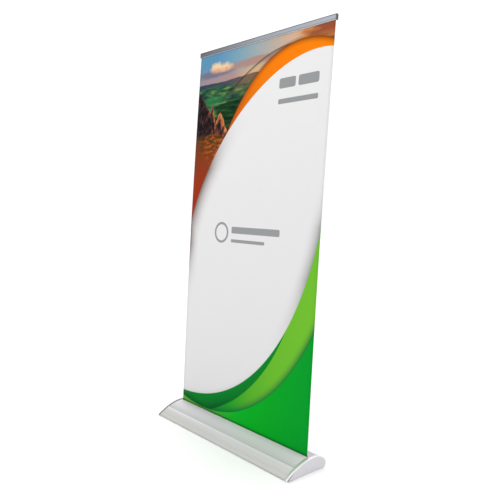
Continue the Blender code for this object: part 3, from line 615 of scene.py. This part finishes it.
mould = bmesh.new()
bmesh.ops.create_grid(mould, x_segments=FILM_COLUMNS, y_segments=FILM_ROWS, size=0.5)
bmesh.ops.scale(mould, vec=(film_width, film_length, 1.0), verts=mould.verts)
upright = Matrix.Rotation(math.radians(90.0), 3, "X")
bmesh.ops.rotate(mould, cent=(0.0, 0.0, 0.0), matrix=upright, verts=mould.verts)
bmesh.ops.translate(mould, vec=(0.0, film_plane, (film_low.z + film_high.z) / 2), verts=mould.verts)
for vert in mould.verts:
    rise = min(max((vert.co.z - SLOT_Z) / VISIBLE_HEIGHT, 0.0), 1.0)
    vert.co.y -= FILM_BOW * math.sin(math.pi * rise)
flat_map = mould.loops.layers.uv.new("print")
for face in mould.faces:
    face.smooth = True
    for loop in face.loops:
        across = loop.vert.co.x - film_low.x
        above = loop.vert.co.z - SLOT_Z
        loop[flat_map].uv = (across / PRINT_SPAN, (above + PRINT_DROP) / PRINT_SPAN)
banner = new_piece("printed_banner", mould)
body = banner.modifiers.new("film thickness", "SOLIDIFY")
body.thickness = FILM_THICKNESS
body.offset = 0.0
body.material_offset = 1
body.material_offset_rim = 1


def beyond(centre, radii, lean=0.0):
    """How far a point of the print lies outside an ellipse, in metres, and below zero inside it."""
    turn = math.radians(lean)
    across = x - centre[0]
    along = z - centre[1]
    u = (across * math.cos(turn) + along * math.sin(turn)) * (1 / radii[0])
    v = (along * math.cos(turn) - across * math.sin(turn)) * (1 / radii[1])
    reach = wire.maths("SQRT", u * u + v * v)
    slope = wire.maths("SQRT", u * u * (1 / radii[0] ** 2) + v * v * (1 / radii[1] ** 2))
    return (reach - 1) * reach / slope


def flat_noise(scale_x, scale_z, detail=3.0, seed=0.0):
    """A cloudy pattern in the plane of the print, between 0 and 1."""
    spot = wire.node("ShaderNodeCombineXYZ", {"X": x * scale_x, "Y": z * scale_z + seed})
    return cloudy(wire, 1.0, detail, place=spot)


def puff(centre, radii, ragged):
    """A soft round patch, 1 at its middle, with a ragged edge."""
    u = (x - centre[0]) * (1 / radii[0])
    v = (z - centre[1]) * (1 / radii[1])
    return (u * u + v * v + (ragged - 0.5) * PUFF_RAG).fade(*PUFF_EDGE)


def evening_sky():
    """The sky at dusk and its clouds."""
    picture = ramp(wire, x, (0.0, "#5f94b0"), (0.15, "#5b93bb"), (0.35, "#7ea5b6"), (0.5, "#a3adae"),
                   (0.62, "#bfae9f"), (0.75, "#d8b294"), (0.84, "#dc9a63"), (1.0, "#ad5a33"))
    low_sky = ramp(wire, x, (0.0, "#a58a8c"), (0.3, "#b98d80"), (0.5, "#eebf85"))
    picture = (z.fade(1.985, 1.91) * 0.85).over(picture, low_sky)
    wisps = flat_noise(9.0, 30.0, 6.0, 3.1)
    billow = flat_noise(22.0, 26.0, 5.0, 1.9)
    haze = puff((0.1, 1.945), (0.2, 0.022), wisps) * 0.75
    picture = haze.over(picture, tint("#6d6a80"))
    band = puff((0.45, 1.965), (0.2, 0.024), wisps) * 0.8
    picture = band.over(picture, tint("#b08377"))
    left_heap = puff((0.15, 1.975), (0.055, 0.036), billow)
    right_heap = puff((0.215, 1.965), (0.075, 0.034), billow)
    heap = wire.maths("MAXIMUM", left_heap, right_heap) * z.fade(1.935, 1.95)
    heap_light = billow * 0.5 + z.fade(1.93, 2.0) * 0.5 + x * 0.3
    heap_colour = ramp(wire, heap_light, (0.4, "#8a7280"), (0.52, "#d9a184"), (0.66, "#f3d1a6"))
    picture = heap.over(picture, heap_colour)
    blaze = puff((0.96, 2.04), (0.15, 0.05), wisps)
    picture = (blaze.fade(0.0, 0.6) * 0.8).over(picture, tint("#e69a55"))
    return (blaze.fade(0.3, 1.0) * (z.fade(1.985, 2.03) * 0.5 + 0.35)).over(picture, tint("#8c3f2c"))


def with_ridges(picture):
    """Adds ridges, each nearer one lower, darker and greener than the one behind it."""
    ridge_roll = flat_noise(5.0, 0.0, 3.0, 1.3)
    far_ridge = ridge_roll * 0.03 + x * 0.02 + 1.878
    far_colour = ramp(wire, x, (0.0, "#2c4356"), (0.2, "#3d4a5c"), (0.35, "#5c5355"), (0.5, "#66503f"))
    picture = (far_ridge - z).fade(0.0, 0.003).over(picture, far_colour)
    near_roll = flat_noise(4.5, 0.0, 3.0, 5.9)
    patches = flat_noise(11.0, 46.0, 5.0, 2.2)
    middle_ridge = near_roll * 0.05 + 1.852
    valley = ramp(wire, patches, (0.34, "#14302a"), (0.46, "#23503c"), (0.56, "#3d6a3f"),
                  (0.66, "#6f8c48"), (0.76, "#9c9a55"))
    picture = (middle_ridge - z).fade(0.0, 0.02).over(picture, valley)
    meadow = puff((0.14, 1.79), (0.08, 0.03), patches)
    picture = (meadow * 0.5).over(picture, tint("#2f8c50"))
    brow = near_roll * 0.03 + x * 0.1 + 1.732
    bank = ramp(wire, patches, (0.35, "#0b1f10"), (0.55, "#15401f"), (0.72, "#2f5f28"))
    return ((brow - z).fade(0.0, 0.004) * x.fade(0.15, 0.2)).over(picture, bank)


def with_rocks(picture):
    """Adds a rocky spur at the left, lit by a low sun."""
    spires = flat_noise(30.0, 0.0, 4.0, 4.4)
    slab = 1.865 - x * 1.25
    first = 1.775 - wire.maths("ABSOLUTE", x - 0.135) * 3.2
    second = 1.725 - wire.maths("ABSOLUTE", x - 0.21) * 1.7
    peaks = wire.maths("MAXIMUM", first, second)
    spur_top = wire.maths("MAXIMUM", slab, peaks) + (spires - 0.5) * 0.07
    stone = flat_noise(46.0, 26.0, 6.0, 6.6)
    sunlit = (spur_top - z).fade(0.06, 0.0) * x.fade(0.07, 0.12) * 0.9 + x.fade(0.13, 0.22) * 0.3
    rock = ramp(wire, stone * 0.75 + sunlit * 0.28, (0.33, "#120c0f"), (0.44, "#3a2526"), (0.54, "#7c4533"),
                (0.66, "#c97340"), (0.8, "#e6a060"))
    return (spur_top - z).fade(0.0, 0.003).over(picture, rock)


def with_slope(picture):
    """Adds the warm slope below the rocks, which turns to plain red."""
    tufts = flat_noise(24.0, 60.0, 5.0, 0.7)
    slope_top = flat_noise(9.0, 0.0, 3.0, 3.3) * 0.05 + 1.572
    slope = ramp(wire, z * 0.5, (0.55, "#a22a12"), (0.62, "#a13013"), (0.68, "#943518"), (0.73, "#853a19"),
                 (0.77, "#7c3f19"), (0.8, "#653b1a"))
    slope = (tufts.fade(0.45, 0.62) * z.fade(1.46, 1.56) * 0.8).over(slope, tint("#34331a"))
    bright_tufts = tufts.fade(0.52, 0.36) * z.fade(1.4, 1.52) * x.fade(0.04, 0.16)
    slope = (bright_tufts * 0.85).over(slope, tint("#cb661d"))
    return (slope_top - z).fade(-0.01, 0.02).over(picture, slope)


def with_arc(picture):
    """Adds a translucent brown arc."""
    veil = beyond(*VEIL)
    veiled = veil.fade(EDGE, 0.0) * z.fade(1.79, 1.86)
    picture = (veiled * 0.22).over(picture, tint("#b08a62"))
    return (veiled * veil.fade(-0.016, 0.0) * 0.8).over(picture, tint("#2f241c"))


def with_orange(picture):
    """Adds the orange swoosh, shaded along its outer edge."""
    tail = x.fade(0.55, 0.28)
    flame = beyond(*FLAME) + tail * 0.012
    shadow = flame.fade(0.018, 0.0) * flame.fade(-EDGE, 0.0) * 0.55
    picture = shadow.over(picture, tint("#4a2a17"))
    orange = ramp(wire, x, (0.2, "#c25215"), (0.35, "#db670d"), (0.5, "#f07a05"), (0.62, "#fc8001"),
                  (1.0, "#fe8700"))
    lit_edge = flame.fade(-0.038, 0.0)
    orange = (lit_edge * lit_edge * (x.fade(0.3, 0.6) * 0.55 + 0.35)).over(orange, tint("#6d3410"))
    return flame.fade(EDGE, 0.0).over(picture, orange)


def green_swooshes():
    """The greens at the foot: a ground, a light swoosh on it, a dark one on that, and a painted shadow
    along the film's foot at the slot.
    """
    ground = ramp(wire, x, (0.0, "#5fae3f"), (0.2, "#55a63d"), (0.42, "#1fb42a"), (0.5, "#01b527"),
                  (0.7, "#00aa22"), (1.0, "#009b2b"))
    outer = beyond(*LIGHT_GREEN)
    light_green = ramp(wire, x, (0.25, "#088a2b"), (0.45, "#27a326"), (0.6, "#5ab22b"), (0.75, "#6abb2e"),
                       (0.95, "#72bf31"))
    rim_shade = outer.fade(-0.05, 0.0)
    light_green = (rim_shade * rim_shade * 0.95).over(light_green, tint("#0a6f38"))
    lower = outer.fade(EDGE, 0.0).over(ground, light_green)
    inner = beyond(*DARK_GREEN)
    dark_green = ramp(wire, z, (0.0, "#017d28"), (0.2, "#018428"), (0.5, "#018727"))
    fold_shade = wire.maths("MAXIMUM", inner.fade(-0.08, 0.0), rim_shade) * x.fade(0.85, 0.3)
    dark_green = (fold_shade * fold_shade * 0.9).over(dark_green, tint("#004d22"))
    lower = (inner.fade(EDGE, 0.0) * outer.fade(EDGE, 0.0)).over(lower, dark_green)
    # A painted shadow along the film's foot, where it goes into the slot.
    return (z.fade(0.014, 0.004) * 0.6).over(lower, tint("#00561a"))


def white_field(above, below):
    """The white field, shaded softly along its edges to the picture above and the greens below."""
    white = ramp(wire, z * 0.5, (0.05, "#e3e3e3"), (0.4, "#e7e6e7"), (0.6, "#e9e8e9"), (0.95, "#ededed"))
    left_shade = above.fade(-0.125, 0.0) * z.fade(0.55, 0.95) * z.fade(1.74, 1.4)
    edge_shade = x.fade(0.095, 0.0) * z.fade(0.6, 0.95) * z.fade(1.32, 1.2)
    left_shade = wire.maths("MAXIMUM", left_shade, edge_shade)
    white = (left_shade * left_shade * 0.95).over(white, tint("#74675f"))
    right_shade = below.fade(-0.085, 0.0) * z.fade(0.35, 0.85) * z.fade(1.35, 1.1)
    white = (right_shade * right_shade * 0.8).over(white, tint("#8c8a88"))
    low_shade = below.fade(-0.03, 0.0) * z.fade(0.6, 0.2)
    return (low_shade * low_shade * 0.35).over(white, tint("#b5b9b5"))


def bar(left, right_end, bottom, top):
    """A plain printed bar with soft corners."""
    half_x = (right_end - left) / 2
    half_z = (top - bottom) / 2
    corner = half_z * BAR_CORNER
    dx = wire.maths("ABSOLUTE", x - (left + half_x)) - (half_x - corner)
    dz = wire.maths("ABSOLUTE", z - (bottom + half_z)) - (half_z - corner)
    dx = wire.maths("MAXIMUM", dx, 0.0)
    dz = wire.maths("MAXIMUM", dz, 0.0)
    return (wire.maths("SQRT", dx * dx + dz * dz) - corner).fade(EDGE, 0.0)


def with_marks(white):
    """Adds plain bars where a print has its lines of text, and a plain ring where it has a mark."""
    outside = beyond(*RING)
    marks = outside.fade(EDGE, 0.0) * outside.fade(-RING_WIDE - EDGE, -RING_WIDE)
    for place in BARS:
        marks = marks + bar(*place)
    return marks.over(white, tint("#9a9c9e"))


print_finish, wire = new_finish("printed film")
layout = wire.node("ShaderNodeUVMap", uv_map="print")
x = wire.node("ShaderNodeSeparateXYZ", {"Vector": layout}, output="X") * PRINT_SPAN
z = wire.node("ShaderNodeSeparateXYZ", {"Vector": layout}, output="Y") * PRINT_SPAN - PRINT_DROP
picture = evening_sky()
for layer in (with_ridges, with_rocks, with_slope, with_arc, with_orange):
    picture = layer(picture)
field_above = beyond(*FIELD_ABOVE)
field_below = beyond(*FIELD_BELOW)
upper_half = (z - x * FIELD_RISE).fade(*FIELD_SPLIT)
white = with_marks(white_field(field_above, field_below))
upper_art = field_above.fade(0.0, EDGE).over(white, picture)
lower_art = field_below.fade(0.0, EDGE).over(white, green_swooshes())
art = upper_half.over(lower_art, upper_art)
art = wire.node("ShaderNodeMix", {
    0: 1.0,
    6: art,
    7: (INK, INK, INK, 1.0),
}, output=2, data_type="RGBA", blend_type="MULTIPLY")
sheen = flat_noise(3.0, 3.0, 2.0, 0.2)
surfaced(wire, {
    "Base Color": art,
    "Roughness": sheen.fade(0.3, 0.7) * 0.08 + 0.55,
    "Specular IOR Level": 0.04,
    "Normal": bumped(wire, sheen, 0.05, 0.01),
})

back_finish, wire = new_finish("grey film back")
layout = wire.node("ShaderNodeUVMap", uv_map="print")
fibre = cloudy(wire, 1.0, 2.0, place=layout, stretch=(900.0, 900.0, 1.0))
mottle = cloudy(wire, 1.0, 3.0, place=layout, stretch=(6.0, 6.0, 1.0))
pulp = (fibre * 0.4 + mottle * 0.6).fade(0.3, 0.7)
surfaced(wire, {
    "Base Color": pulp.over(tint("#b9babb"), tint("#c6c7c8")),
    "Roughness": fibre * 0.1 + 0.55,
})
banner.data.materials.append(print_finish)
banner.data.materials.append(back_finish)
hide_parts("graphic_sheet")
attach(banner, "base")
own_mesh(banner)
